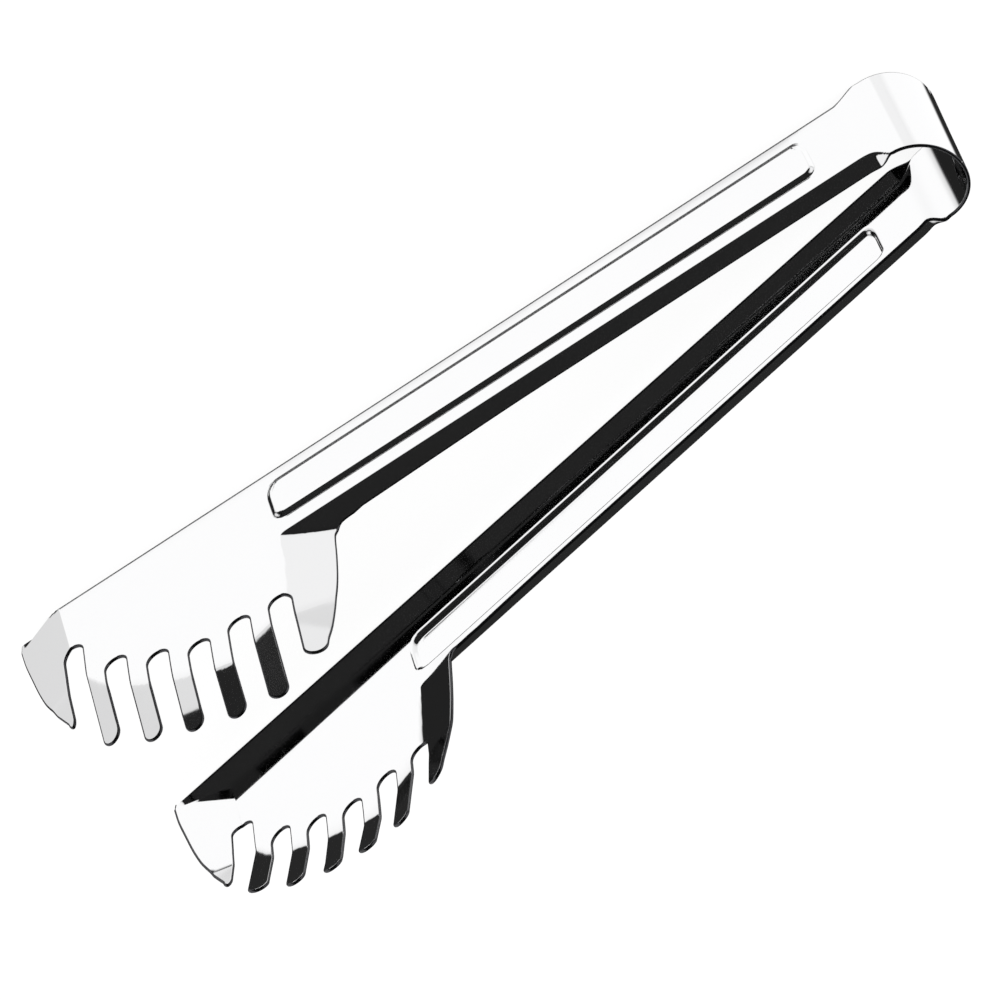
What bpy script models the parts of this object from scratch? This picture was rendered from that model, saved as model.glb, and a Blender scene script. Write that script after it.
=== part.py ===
"""Pasta tongs, pressed and folded from one strip of stainless steel.

The strip runs out along the right arm, round the spring bow and back along the left arm. Each arm is a
shallow channel with a raised panel, and ends in a scooped comb with seven teeth. The tongs lie on the
far edges of the strip: +X runs from the bow to the jaws and +Z runs up the teeth.
"""

import math

import bmesh
import bpy

# Strip and bow
sheet_thickness = 0.0008
bow_radius = 0.01145
arm_angle = math.radians(5.23)
hinge_gap = 0.0003
bow_steps = 30
bow_extra_width = 0.0026

# Channel of each arm, measured along the arm from the end of the bow
arm_length = 0.2215
face_width = 0.0262
far_flange_at_bow = 0.0041
far_flange_at_jaw = 0.0058
far_fold_angle = math.radians(61)
near_flange_width = 0.00345
near_flange_growth = 0.0013
near_fold_angle = math.radians(66)
fold_radius = 0.0012
fold_steps = 3
unfold_length = 0.0076
unfold_steps = 10
far_side_step = 0.0008
face_lean_slope = 0.028

# The near flange opens out on its way to the heel
opening_start = 0.094
opening_share = 0.479
opening_power = 1.39

# Raised panel on the outside of each arm
panel_start = 0.0166
panel_end = 0.1557
panel_edge_margin = 0.0055
panel_corner_radius = 0.003
panel_wall = 0.0011
panel_height = 0.0009

# Comb at the end of each arm: back is measured from the tip towards the bow, reach across the strip
tooth_lean = math.radians(5.3)
tooth_pitch = 0.01008
tooth_width = 0.0048
first_gap_offset = 0.01505
end_tooth_width = 0.0021
heel_tooth_width = 0.0054
comb_width = 0.0703
tip_reach_shares = (0.579, 0.751, 0.86, 0.935, 0.9855, 1.0, 0.902)
gap_reach_shares = (0.238, 0.424, 0.518, 0.587, 0.587, 0.589)
jaw_length = 0.0766
tip_outline_back_shares = (0.0, 0.0025, 0.0115, 0.0232, 0.039, 0.0614)
tip_outline_reach_shares = (-0.0097, 0.0757, 0.1756, 0.2891, 0.389, 0.489)
heel_outline_back_shares = (1.077, 1.031, 1.009, 1.0, 0.986, 0.967, 0.944, 0.9125, 0.888)
heel_outline_reach_shares = (0.4356, 0.4409, 0.4623, 0.488, 0.5821, 0.6917, 0.7897, 0.8877, 0.9449)
tip_corner_inset = 0.0006

# How the comb is scooped inwards: folds across its end and its heel, and one or two across each tooth
tip_fold_back = 0.0132
tip_fold_slope = 0.37
heel_fold_offset = 0.0671
heel_fold_slope = 0.36
tooth_fold_reach_shares = (0.47, 0.412, 0.526, 0.676, 0.711, 0.747, 0.697, 0.711)
second_fold_reach_shares = (1.0, 0.9, 0.846, 0.846, 0.85, 0.78, 0.72, 1.0)
tooth_slope = 0.165
second_fold_slope = 0.045
tooth_bend_length = 0.003

# How finely the sheet is divided
jaw_cell = 0.0042
handle_cell = 0.03
bow_cell = 0.01
arc_steps = 6
curve_steps = 3
merge_distance = 0.00004
sharpest_smooth_angle = math.radians(30)


def smooth_step(value, low, high):
    share = min(max((value - low) / (high - low), 0.0), 1.0)
    return share * share * (3 - 2 * share)


def fold_setback(angle):
    """How far inside the fold line the bend starts."""
    return fold_radius * math.tan(angle / 2)


def flange_blank(width, angle):
    """Width of the flat strip that becomes a flange, from where its bend starts."""
    return fold_radius * angle + width - fold_setback(angle)


def base_lift():
    """Height of the far fold line above the edge of the flat head, which the tongs lie on."""
    return flange_blank(far_flange_at_bow, far_fold_angle) - fold_setback(far_fold_angle)


def far_edge(along):
    """Where the blank ends on the side away from the teeth."""
    width = far_flange_at_bow + (far_flange_at_jaw - far_flange_at_bow) * along / arm_length
    return fold_setback(far_fold_angle) - flange_blank(width, far_fold_angle)


def opened(along):
    """Grows from 0, well before the heel, to 1 at the heel's fold."""
    share = (along - opening_start) / (along_heel_crease() - opening_start)
    return min(max(share, 0.0), 1.0) ** opening_power


def near_bend_start():
    return face_width - fold_setback(near_fold_angle)


def near_edge(along):
    """Where the blank ends on the side of the teeth, between the bow and the heel."""
    width = near_flange_width + near_flange_growth * opened(along)
    return near_bend_start() + flange_blank(width, near_fold_angle)


def folded(along):
    """Share of the flanges' folding: 0 on the flat head and 1 on the channel."""
    return smooth_step(along, 0.0, unfold_length)


def bent_edge(distance, angle):
    """(outward, inward) travel of a point that lies this far past the start of a bend."""
    bend = fold_radius * angle
    if distance <= bend:
        turned = distance / fold_radius
        return fold_radius * math.sin(turned), fold_radius * (1 - math.cos(turned))
    straight = distance - bend
    outward = fold_radius * math.sin(angle) + straight * math.cos(angle)
    inward = fold_radius * (1 - math.cos(angle)) + straight * math.sin(angle)
    return outward, inward


def comb_axes(back, across):
    """A place on the comb as (offset across the teeth, reach along the teeth)."""
    cosine = math.cos(tooth_lean)
    sine = math.sin(tooth_lean)
    return back * cosine + across * sine, across * cosine - back * sine


def comb_place(offset, reach):
    """The blank's (along, across) of a place given across and along the teeth."""
    cosine = math.cos(tooth_lean)
    sine = math.sin(tooth_lean)
    return arm_length - (offset * cosine - reach * sine), offset * sine + reach * cosine


def gap_offset(index):
    return first_gap_offset + tooth_pitch * index


def gap_width():
    return tooth_pitch - tooth_width


def gap_reach(index):
    return comb_width * gap_reach_shares[index]


def reach_at(shares, offset):
    """Reach at this offset on a line through one reach for each gap and one beyond each end."""
    place = (offset - gap_offset(-1)) / tooth_pitch
    index = min(max(int(math.floor(place)), 0), len(shares) - 2)
    return comb_width * (shares[index] + (shares[index + 1] - shares[index]) * (place - index))


def soft_fold(past, slope):
    """Depth of a bend that is spread over a short length."""
    past += tooth_bend_length / 2
    bending = min(max(past, 0.0), tooth_bend_length)
    return slope * (bending * bending / (2 * tooth_bend_length) + max(past - tooth_bend_length, 0.0))


def panel_rise(along, across):
    """Share of the panel's height at this place: 0 outside it and 1 on its flat top."""
    half_length = (panel_end - panel_start) / 2
    half_width = face_width / 2 - panel_edge_margin
    from_middle_along = abs(along - (panel_start + panel_end) / 2)
    from_middle_across = abs(across - face_width / 2)
    over_along = max(from_middle_along - half_length + panel_corner_radius, 0.0)
    over_across = max(from_middle_across - half_width + panel_corner_radius, 0.0)
    corner = math.hypot(over_along, over_across) - panel_corner_radius
    inside = max(from_middle_along - half_length, from_middle_across - half_width, corner)
    return min(max(-inside / panel_wall, 0.0), 1.0)


def heel_depth(offset):
    return heel_fold_slope * max(offset - heel_fold_offset, 0.0)


def scoop_depth(along, across):
    """How far the comb is pressed inwards: the facets at its end and its heel, and the bent teeth."""
    back = arm_length - along
    offset, reach = comb_axes(back, across)
    depth = tip_fold_slope * max(tip_fold_back - back, 0.0)
    depth += soft_fold(reach - reach_at(tooth_fold_reach_shares, offset), tooth_slope)
    depth += soft_fold(reach - reach_at(second_fold_reach_shares, offset), second_fold_slope)
    return depth


def along_heel_crease():
    """Where the heel's fold meets the bend of the near flange."""
    reach = near_bend_start() / math.cos(tooth_lean) - heel_fold_offset * math.tan(tooth_lean)
    return comb_place(heel_fold_offset, reach)[0]


def leaned(along, height):
    """The strip leans in a little towards the teeth, and each arm stands out a little past the bow."""
    return face_lean_slope * height - far_side_step * folded(along)


def pressed(along, across):
    """(height, inward depth) of a place of the flat blank once it is pressed."""
    near_bend = near_bend_start()
    far_bend = fold_setback(far_fold_angle)
    depth = scoop_depth(along, across) - panel_height * panel_rise(along, across)
    height = across
    if across < far_bend:
        outward, inward = bent_edge(far_bend - across, far_fold_angle * folded(along))
        height = far_bend - outward
        depth = max(depth, inward)
    if across > near_bend:
        offset = comb_axes(arm_length - along, across)[0]
        angle = near_fold_angle * folded(along) * (1 - opening_share * opened(along))
        outward, inward = bent_edge(across - near_bend, angle)
        depth += min(inward, heel_depth(offset))
        flat = across - near_bend
        height = near_bend + max(outward, math.sqrt(max(flat * flat - depth * depth, 0.0)))
    return height, depth + leaned(along, height)


def smooth_line(points):
    """A Catmull-Rom curve through the points."""
    ends = [points[0]] + points + [points[-1]]
    line = []
    for index in range(len(points) - 1):
        a, b, c, d = ends[index : index + 4]
        for step in range(curve_steps):
            t = step / curve_steps
            line.append(
                tuple(
                    b[k]
                    + (c[k] - a[k]) * t / 2
                    + (2 * a[k] - 5 * b[k] + 4 * c[k] - d[k]) * t * t / 2
                    + (3 * b[k] - a[k] - 3 * c[k] + d[k]) * t**3 / 2
                    for k in (0, 1)
                )
            )
    line.append(points[-1])
    return line


def half_round(offset, reach, radius, turn):
    """A half circle across one tooth (turn 1) or one gap (turn -1), from its tip side to its heel side."""
    points = []
    for step in range(arc_steps + 1):
        angle = math.pi * (1 - step / arc_steps)
        points.append(comb_place(offset + radius * math.cos(angle), reach + turn * radius * math.sin(angle)))
    return points


def pointed_end(offset, tip_reach, width):
    """The longer, half oval point of one of the two outermost teeth."""
    points = []
    for step in range(arc_steps + 1):
        angle = math.pi * (1 - step / arc_steps)
        reach = tip_reach - tooth_width / 2 * (1 - math.sin(angle))
        points.append(comb_place(offset + width / 2 * math.cos(angle), reach))
    return points


def tip_outline():
    """The end of the comb, from the corner with the far flange to the point of the end tooth."""
    corner = (arm_length - tip_corner_inset, far_edge(arm_length))
    shares = zip(tip_outline_back_shares, tip_outline_reach_shares)
    points = [(arm_length - jaw_length * back, comb_width * reach) for back, reach in shares]
    return [corner] + smooth_line(points)


def teeth_outline():
    """Round point of the end tooth, then each gap and tooth in turn, to the round point of the heel tooth."""
    outline = []
    last_gap = len(gap_reach_shares) - 1
    round_radius = tooth_width / 2
    gap_radius = gap_width() / 2
    end_offset = gap_offset(0) - gap_radius - end_tooth_width / 2
    outline += pointed_end(end_offset, comb_width * tip_reach_shares[0], end_tooth_width)[1:]
    for index, share in enumerate(gap_reach_shares):
        outline += half_round(gap_offset(index), comb_width * share + gap_radius, gap_radius, -1)
        if index < last_gap:
            reach = comb_width * tip_reach_shares[index + 1] - round_radius
            outline += half_round(gap_offset(index) + tooth_pitch / 2, reach, round_radius, 1)
    heel_offset = gap_offset(last_gap) + gap_radius + heel_tooth_width / 2
    outline += pointed_end(heel_offset, comb_width * tip_reach_shares[-1], heel_tooth_width)[:-1]
    return outline


def heel_outline():
    """Back edge of the heel tooth, from its point down to the flared end of the near flange."""
    shares = zip(reversed(heel_outline_back_shares), reversed(heel_outline_reach_shares))
    points = [(arm_length - jaw_length * back, comb_width * reach) for back, reach in shares]
    return smooth_line(points)


def near_outline(start):
    """The near edge, from the heel back to the bow."""
    last = arm_length - jaw_length * heel_outline_back_shares[0]
    places = evenly(start, unfold_length, unfold_length / unfold_steps)
    places += evenly(opening_start, last - jaw_cell, jaw_cell)
    return [(along, near_edge(along)) for along in reversed(places)]


def blank_outline():
    start = hinge_gap / 2
    outline = [(start, far_edge(start))]
    outline += tip_outline()
    outline += teeth_outline()
    outline += heel_outline()
    outline += near_outline(start)
    return outline


def evenly(low, high, cell):
    count = max(round((high - low) / cell), 1)
    return [low + (high - low) * index / count for index in range(count + 1)]


def panel_edge_lines():
    """How far inside the panel's edge the sheet is divided: at its wall and round its corners."""
    return [0.0, panel_wall, (panel_wall + panel_corner_radius) / 2, panel_corner_radius]


def lines_along():
    """Places along the arm where the blank is divided, so that it can bend there."""
    tip_fold = arm_length - tip_fold_back
    lines = evenly(hinge_gap, unfold_length, unfold_length / unfold_steps)
    lines += [panel_start + inside for inside in panel_edge_lines()]
    lines += [panel_end - inside for inside in panel_edge_lines()]
    lines += evenly(panel_start + panel_corner_radius, opening_start, handle_cell)
    lines += evenly(opening_start, arm_length - jaw_length, handle_cell / unfold_steps * 2)
    lines += evenly(arm_length - jaw_length, tip_fold, jaw_cell)
    lines += evenly(tip_fold, arm_length, jaw_cell)
    return sorted(set(lines))


def lines_across():
    """Places across the strip where the blank is divided: both folds, the panel's walls and the teeth."""
    far_bend = fold_setback(far_fold_angle)
    far_length = fold_radius * far_fold_angle
    near_bend = near_bend_start()
    near_length = fold_radius * near_fold_angle
    lines = evenly(far_bend - far_length, far_bend, far_length / fold_steps)
    lines += evenly(near_bend, near_bend + near_length, near_length / fold_steps)
    lines += [panel_edge_margin + inside for inside in panel_edge_lines()]
    lines += [face_width - panel_edge_margin - inside for inside in panel_edge_lines()]
    lines += evenly(face_width + near_length, comb_width + jaw_cell * 2, jaw_cell)
    return sorted(set(lines))


def straight_line(mesh, geometry, start, end):
    """Divides part of the flat blank along the line through two places."""
    direction = (end[0] - start[0], 0, end[1] - start[1])
    normal = (-direction[2], 0, direction[0])
    bmesh.ops.bisect_plane(mesh, geom=geometry, plane_co=(start[0], 0, start[1]), plane_no=normal)


def tooth_geometry(mesh, low, high, root):
    """The part of the blank that is one tooth, given its offsets and the reach of its root."""
    faces = []
    for face in mesh.faces:
        middle = face.calc_center_median()
        offset, reach = comb_axes(arm_length - middle.x, middle.z)
        if low < offset < high and reach > root:
            faces.append(face)
    edges = {edge for face in faces for edge in face.edges}
    corners = {vertex for face in faces for vertex in face.verts}
    return faces + list(edges) + list(corners)


def divide_tooth(mesh, index):
    """Lines across one tooth, where each of its soft bends starts and ends."""
    low = gap_offset(index - 1)
    high = gap_offset(index)
    root = gap_reach(max(index - 1, 0))
    for shares in (tooth_fold_reach_shares, second_fold_reach_shares):
        for past in (-tooth_bend_length / 2, 0.0, tooth_bend_length / 2):
            start = comb_place(low, reach_at(shares, low) + past)
            end = comb_place(high, reach_at(shares, high) + past)
            straight_line(mesh, tooth_geometry(mesh, low, high, root), start, end)


def divided_blank():
    """The flat blank, cut out and divided by lines along and across it, and along the comb's folds."""
    mesh = bmesh.new()
    corners = [mesh.verts.new((along, 0, across)) for along, across in blank_outline()]
    mesh.faces.new(corners)
    for along in lines_along():
        everything = mesh.verts[:] + mesh.edges[:] + mesh.faces[:]
        bmesh.ops.bisect_plane(mesh, geom=everything, plane_co=(along, 0, 0), plane_no=(1, 0, 0))
    for across in lines_across():
        everything = mesh.verts[:] + mesh.edges[:] + mesh.faces[:]
        bmesh.ops.bisect_plane(mesh, geom=everything, plane_co=(0, 0, across), plane_no=(0, 0, 1))
    for index in range(len(tip_reach_shares)):
        divide_tooth(mesh, index)
    heel = tooth_geometry(mesh, gap_offset(len(gap_reach_shares) - 1), arm_length, near_bend_start())
    straight_line(mesh, heel, comb_place(heel_fold_offset, 0.0), comb_place(heel_fold_offset, comb_width))
    bmesh.ops.remove_doubles(mesh, verts=mesh.verts[:], dist=merge_distance)
    return mesh


def steel_material(name, colour, roughness):
    material = bpy.data.materials.new(name)
    material.use_nodes = True
    shader = material.node_tree.nodes["Principled BSDF"]
    shader.inputs["Base Color"].default_value = (*colour, 1)
    shader.inputs["Metallic"].default_value = 1
    shader.inputs["Roughness"].default_value = roughness
    return material


def finish(name, mesh, material):
    """Makes a node of the sheet surface and gives it its thickness, measured in from the outer face."""
    data = bpy.data.meshes.new(name)
    mesh.to_mesh(data)
    mesh.free()
    data.materials.append(material)
    data.shade_smooth()
    data.set_sharp_from_angle(angle=sharpest_smooth_angle)
    node = bpy.data.objects.new(name, data)
    bpy.context.scene.collection.objects.link(node)
    sheet = node.modifiers.new("sheet", "SOLIDIFY")
    sheet.thickness = sheet_thickness
    sheet.offset = -1
    sheet.use_even_offset = True
    return node


def make_arm(name, side, material):
    """One arm with its comb. side is -1 for the arm at -Y and 1 for the arm at +Y."""
    mesh = divided_blank()
    for vertex in mesh.verts:
        height, depth = pressed(vertex.co.x, vertex.co.z)
        vertex.co.y = side * (sheet_thickness / 2 - depth)
        vertex.co.z = height + base_lift()
    bmesh.ops.triangulate(mesh, faces=[face for face in mesh.faces if len(face.verts) > 4])
    bmesh.ops.recalc_face_normals(mesh, faces=mesh.faces[:])
    if mesh.faces[0].normal.y * side < 0:
        bmesh.ops.reverse_faces(mesh, faces=mesh.faces[:])
    arm = finish(name, mesh, material)
    middle_radius = bow_radius - sheet_thickness / 2
    arm.location = (-middle_radius * math.sin(arm_angle), side * middle_radius * math.cos(arm_angle), 0)
    arm.rotation_euler.z = side * arm_angle
    return arm


def make_bow(material):
    """The flat, wide middle of the strip, rolled round the spring bow. It is widest at its crown."""
    mesh = bmesh.new()
    sweep = math.pi - 2 * arm_angle - hinge_gap / bow_radius
    width = near_edge(0.0) + base_lift()
    levels = evenly(0.0, width, bow_cell)
    start = math.pi - sweep / 2
    rim = [mesh.verts.new((bow_radius * math.cos(start), bow_radius * math.sin(start), z)) for z in levels]
    profile = [mesh.edges.new(pair) for pair in zip(rim, rim[1:])]
    bmesh.ops.spin(mesh, geom=rim + profile, cent=(0, 0, 0), axis=(0, 0, 1), angle=sweep, steps=bow_steps)
    for vertex in mesh.verts:
        towards_crown = max(-vertex.co.x / bow_radius, 0.0)
        narrowed = 1 - face_lean_slope * (vertex.co.z - base_lift()) / bow_radius
        vertex.co.x *= narrowed
        vertex.co.y *= narrowed
        vertex.co.z += bow_extra_width * towards_crown * smooth_step(vertex.co.z, width / 2, width)
    bmesh.ops.recalc_face_normals(mesh, faces=mesh.faces[:])
    first = mesh.faces[0]
    if first.normal.dot(first.calc_center_median().to_2d().to_3d()) < 0:
        bmesh.ops.reverse_faces(mesh, faces=mesh.faces[:])
    return finish("spring_bow", mesh, material)


def centre_on_origin(nodes):
    """Puts the middle of the tongs' length on the origin."""
    bpy.context.view_layer.update()
    places = [(node.matrix_world @ vertex.co).x for node in nodes for vertex in node.data.vertices]
    middle = (min(places) + max(places)) / 2
    for node in nodes:
        node.location.x -= middle


def main():
    for old in list(bpy.data.objects):
        bpy.data.objects.remove(old)
    steel = steel_material("polished_steel", (0.80, 0.80, 0.81), 0.09)
    bow_steel = steel_material("polished_bow_steel", (0.79, 0.79, 0.80), 0.10)
    bow = make_bow(bow_steel)
    right_arm = make_arm("right_arm", -1, steel)
    left_arm = make_arm("left_arm", 1, steel.copy())
    left_arm.data.materials[0].name = "polished_left_arm_steel"
    centre_on_origin([bow, right_arm, left_arm])


main()
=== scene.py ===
# %% [markdown]
# # Pasta tongs, folded from one strip of polished steel
#
# The real tongs are a single strip of stainless sheet. Its flat middle is rolled into a round
# spring bow, each half is pressed into a shallow channel with a raised panel, and each end is cut
# into a comb of teeth that is scooped inwards. Nothing is riveted, so what makes it look real is
# the sheet itself: crisp folds, an even thickness, rounded cut edges and a mirror polish.
#
# This lesson follows the way the factory works. A flat blank is cut, it is scored with lines so
# that it can bend, it is pressed, it gets its thickness, and it is polished.

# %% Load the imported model
import math

import bmesh
import bpy
import numpy
from mathutils import Matrix, Vector


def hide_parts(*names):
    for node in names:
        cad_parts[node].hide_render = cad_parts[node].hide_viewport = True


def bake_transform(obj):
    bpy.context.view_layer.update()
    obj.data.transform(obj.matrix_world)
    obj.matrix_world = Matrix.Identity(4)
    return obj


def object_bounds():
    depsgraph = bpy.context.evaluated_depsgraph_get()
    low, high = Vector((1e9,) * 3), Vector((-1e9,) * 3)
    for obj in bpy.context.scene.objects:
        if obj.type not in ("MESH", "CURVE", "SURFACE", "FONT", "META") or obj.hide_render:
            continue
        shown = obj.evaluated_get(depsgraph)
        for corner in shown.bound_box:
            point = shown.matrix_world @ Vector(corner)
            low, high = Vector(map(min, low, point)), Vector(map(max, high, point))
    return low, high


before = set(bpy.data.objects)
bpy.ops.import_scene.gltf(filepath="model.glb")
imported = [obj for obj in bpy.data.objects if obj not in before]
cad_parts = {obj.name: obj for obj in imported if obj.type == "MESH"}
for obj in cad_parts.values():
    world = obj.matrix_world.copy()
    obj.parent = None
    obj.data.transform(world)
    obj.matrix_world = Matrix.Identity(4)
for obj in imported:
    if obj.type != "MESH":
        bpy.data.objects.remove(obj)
cad_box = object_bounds()
print("CAD box in metres:", [tuple(round(value, 4) for value in corner) for corner in cad_box])

# %% [markdown]
# ## The camera
#
# The photograph looks down at the tongs from the side of one arm, from far away, so parallel edges
# hardly converge. A long lens from a metre and a half away gives that. The three directions below
# were measured on the photograph: what points right, down and forward in the picture.

# %% The camera at the photograph's viewing angle
camera_place = Vector((-0.26285, -0.78148, 1.47796))
picture_right = Vector((-0.78327, 0.59654, 0.17500))
picture_down = Vector((0.59993, 0.65150, 0.46436))
picture_forward = Vector((0.16300, 0.46871, -0.86818))
lens_mm = 279.32

camera_data = bpy.data.cameras.new("camera")
camera_data.sensor_width = 36
camera_data.lens = lens_mm
camera = bpy.data.objects.new("camera", camera_data)
bpy.context.scene.collection.objects.link(camera)
axes = Matrix((picture_right, -picture_down, -picture_forward)).transposed()
camera.matrix_world = Matrix.Translation(camera_place) @ axes.to_4x4()
bpy.context.scene.camera = camera
bpy.context.scene.view_settings.view_transform = "Standard"
print("lens", lens_mm, "mm, distance", round(camera_place.length, 3), "m")

# %% [markdown]
# ## The white surroundings
#
# Polished steel has no colour of its own: what we see on it is the room. In the photograph the flat
# faces are white, the flanges are almost black, and a thin dark line follows the outline. A studio
# gets that with large white cards and black flags round the object. Lamps and cards could be placed
# here too, but each of them would also light the floor. So the room is painted on the world, by
# direction, and only rays that bounce off gloss see it. Every other ray sees plain white.
#
# A direction is given by two numbers. The roll says how far it is turned from straight down
# towards the near side, and the slide says how much it points along the tongs. Each card is a ramp
# over the roll times a ramp over the slide. The main card is what the flat faces mirror, and it ends
# in pale grey for the facets of the comb. The outline is a dark slot in it, seen where the far fold
# turns away. The bow has a card of its own. The back and the ends are lit for whoever walks round
# the tongs. These last lights reach only what mirrors them at once, because light that goes from one
# arm to the other would brighten the dark flanges.

# %% Helpers that add a node and fill a ramp
def add_node(tree, kind, place, settings=None, values=None):
    """Adds a node, sets its properties, and sets its sockets by name or number."""
    node = tree.nodes.new(kind)
    node.location = place
    for name, value in (settings or {}).items():
        setattr(node, name, value)
    for name, value in (values or {}).items():
        node.inputs[name].default_value = value
    return node


def set_ramp(node, stops):
    """Gives a colour ramp its grey stops, as (position, grey)."""
    ramp = node.color_ramp
    while len(ramp.elements) > 1:
        ramp.elements.remove(ramp.elements[-1])
    ramp.elements[0].position = stops[0][0]
    ramp.elements[0].color = (stops[0][1],) * 3 + (1,)
    for position, grey in stops[1:]:
        ramp.elements.new(position).color = (grey,) * 3 + (1,)


print("helpers:", add_node.__name__, "and", set_ramp.__name__)

# %% Where the cards hang, and how bright they are
card_strength = 1.12
main_roll = (
    (13.5, 0.02), (15.6, 0.86), (21.5, 1.0), (38.0, 1.0), (48.0, 0.94),
    (49.2, 0.76), (53.4, 0.72), (54.0, 0.02), (60, 0.015),
)
main_slide = (
    (-0.90, 0.6), (-0.60, 0.8), (-0.30, 0.9), (-0.21, 0.9), (-0.17, 1.0),
    (0.295, 1.0), (0.34, 0.9), (0.40, 0.76), (0.50, 0.72), (0.56, 0.5), (0.60, 0.02),
)
outline_roll = ((17.0, 0.0), (18.0, 1.0), (27.6, 1.0), (29.0, 0.0))
outline_slide = ((-0.03, 0.0), (-0.015, 1.0), (0.140, 1.0), (0.160, 0.0))
bow_roll = ((-25.5, 0.0), (-23.5, 1.0), (20, 1.0), (24, 0.9), (28, 0.0))
bow_slide = ((-0.80, 0.3), (-0.60, 1.0), (-0.16, 1.0), (-0.06, 0.0))
back_roll = ((-112, 0.0), (-90, 0.8), (-50, 0.9), (-38, 0.0))
back_slide = ((-0.50, 1.0), (-0.42, 0.0), (0.42, 0.0), (0.50, 1.0))
end_slide = ((-0.80, 0.9), (-0.64, 0.0), (0.62, 0.0), (0.74, 0.9))
# The world counts a ray that has bounced once as depth 2, and one that has bounced twice as 3.
second_bounce_depth = 2.5


def roll_ramp(tree, share, place, stops):
    """A ramp over the roll, given its stops in degrees."""
    ramp = add_node(tree, "ShaderNodeValToRGB", place)
    set_ramp(ramp, [((degrees + 180) / 360, grey) for degrees, grey in stops])
    tree.links.new(share.outputs["Result"], ramp.inputs["Fac"])
    return ramp


def slide_ramp(tree, share, place, stops):
    """A ramp over the slide, given its stops from -1 to 1."""
    ramp = add_node(tree, "ShaderNodeValToRGB", place)
    set_ramp(ramp, [((slide + 1) / 2, grey) for slide, grey in stops])
    tree.links.new(share.outputs["Result"], ramp.inputs["Fac"])
    return ramp


def combine(tree, blend_type, first, second, place, share=None):
    """Combines two colours: their product, difference or lighter one, or a share of that."""
    node = add_node(tree, "ShaderNodeMix", place, {"data_type": "RGBA", "blend_type": blend_type})
    node.inputs["Factor"].default_value = 1
    if share:
        tree.links.new(share, node.inputs["Factor"])
    tree.links.new(first, node.inputs["A"])
    tree.links.new(second, node.inputs["B"])
    return node.outputs["Result"]


print("the main card hangs from", main_roll[1][0], "to", main_roll[-2][0], "degrees of roll")


# %% The roll and the slide of a direction
def roll_and_slide(tree):
    """The two numbers of a direction, each brought to a share from 0 to 1."""
    direction = add_node(tree, "ShaderNodeTexCoord", (-1600, 0))
    parts = add_node(tree, "ShaderNodeSeparateXYZ", (-1400, 0))
    near = add_node(tree, "ShaderNodeMath", (-1200, 100), {"operation": "MULTIPLY"}, {1: -1})
    down = add_node(tree, "ShaderNodeMath", (-1200, -100), {"operation": "MULTIPLY"}, {1: -1})
    roll = add_node(tree, "ShaderNodeMath", (-1000, 0), {"operation": "ARCTAN2"})
    roll_share = add_node(tree, "ShaderNodeMapRange", (-800, 0), None, {1: -math.pi, 2: math.pi})
    slide_share = add_node(tree, "ShaderNodeMapRange", (-800, -300), None, {1: -1, 2: 1})
    link = tree.links.new
    link(direction.outputs["Generated"], parts.inputs[0])
    link(parts.outputs["Y"], near.inputs[0])
    link(parts.outputs["Z"], down.inputs[0])
    link(near.outputs[0], roll.inputs[0])
    link(down.outputs[0], roll.inputs[1])
    link(roll.outputs[0], roll_share.inputs["Value"])
    link(parts.outputs["X"], slide_share.inputs["Value"])
    return roll_share, slide_share


print("a roll of 0 points straight down, and a slide of 1 points straight along the tongs")


# %% Paint the room on the world
def build_world():
    """White for every ray, except that what bounces off gloss sees the painted cards."""
    world = bpy.data.worlds.new("studio")
    bpy.context.scene.world = world
    world.use_nodes = True
    tree = world.node_tree
    tree.nodes.clear()
    roll, slide = roll_and_slide(tree)
    main = combine(
        tree, "MULTIPLY", roll_ramp(tree, roll, (-500, 300), main_roll).outputs[0],
        slide_ramp(tree, slide, (-500, 0), main_slide).outputs[0], (-200, 200),
    )
    outline = combine(
        tree, "MULTIPLY", roll_ramp(tree, roll, (-500, 900), outline_roll).outputs[0],
        slide_ramp(tree, slide, (-500, 600), outline_slide).outputs[0], (-200, 700),
    )
    main = combine(tree, "SUBTRACT", main, outline, (-50, 400))
    bow = combine(
        tree, "MULTIPLY", roll_ramp(tree, roll, (-500, -300), bow_roll).outputs[0],
        slide_ramp(tree, slide, (-500, -600), bow_slide).outputs[0], (-200, -400),
    )
    back = combine(
        tree, "MULTIPLY", roll_ramp(tree, roll, (-500, -900), back_roll).outputs[0],
        slide_ramp(tree, slide, (-500, -1200), back_slide).outputs[0], (-200, -1000),
    )
    ends = slide_ramp(tree, slide, (-500, -1500), end_slide).outputs[0]
    rays = add_node(tree, "ShaderNodeLightPath", (500, 500))
    mirrored_at_once = add_node(
        tree, "ShaderNodeMath", (0, -700), {"operation": "LESS_THAN"}, {1: second_bounce_depth},
    )
    tree.links.new(rays.outputs["Ray Depth"], mirrored_at_once.inputs[0])
    light = combine(tree, "LIGHTEN", main, bow, (0, 0))
    extra = combine(tree, "LIGHTEN", back, ends, (0, -400))
    light = combine(tree, "LIGHTEN", light, extra, (300, -200), mirrored_at_once.outputs[0])
    room = add_node(tree, "ShaderNodeBackground", (500, -100), None, {"Strength": card_strength})
    plain = add_node(tree, "ShaderNodeBackground", (500, 100), None, {"Strength": 1})
    plain.inputs["Color"].default_value = (1, 1, 1, 1)
    chosen = add_node(tree, "ShaderNodeMixShader", (700, 0))
    output = add_node(tree, "ShaderNodeOutputWorld", (900, 0))
    link = tree.links.new
    link(light, room.inputs["Color"])
    link(rays.outputs["Is Glossy Ray"], chosen.inputs["Fac"])
    link(plain.outputs[0], chosen.inputs[1])
    link(room.outputs[0], chosen.inputs[2])
    link(chosen.outputs[0], output.inputs["Surface"])
    return world


world = build_world()
print("the world has", len(world.node_tree.nodes), "nodes")

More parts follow.
